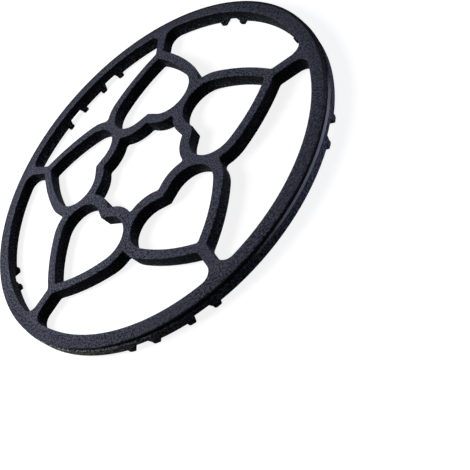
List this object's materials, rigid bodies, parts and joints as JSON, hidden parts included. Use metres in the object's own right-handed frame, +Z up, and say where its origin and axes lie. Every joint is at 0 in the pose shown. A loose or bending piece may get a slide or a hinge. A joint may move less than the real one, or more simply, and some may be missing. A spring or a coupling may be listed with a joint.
{
  "type": "gas stove pan support",
  "caption": "Round cast-iron pan support for a gas hob: a flat ring around a rosette of heart-shaped openings, laid on the hob's arms so that a small pan or wok sits safely above the flame.",
  "frame": {"origin": "on the ring's axis, at the level of the nub tips that the part stands on", "axes": "+Z up, square to the flat top face; +X out along the tip of the heart at the picture's upper right; +Y a quarter turn anticlockwise from it, seen from above"},
  "size_m": [0.191, 0.191, 0.0087],
  "materials": {
    "iron": "rough cast, matte dark grey"
  },
  "bodies": {
    "root": {"pan_support": "iron"}
  },
  "joints": []
}
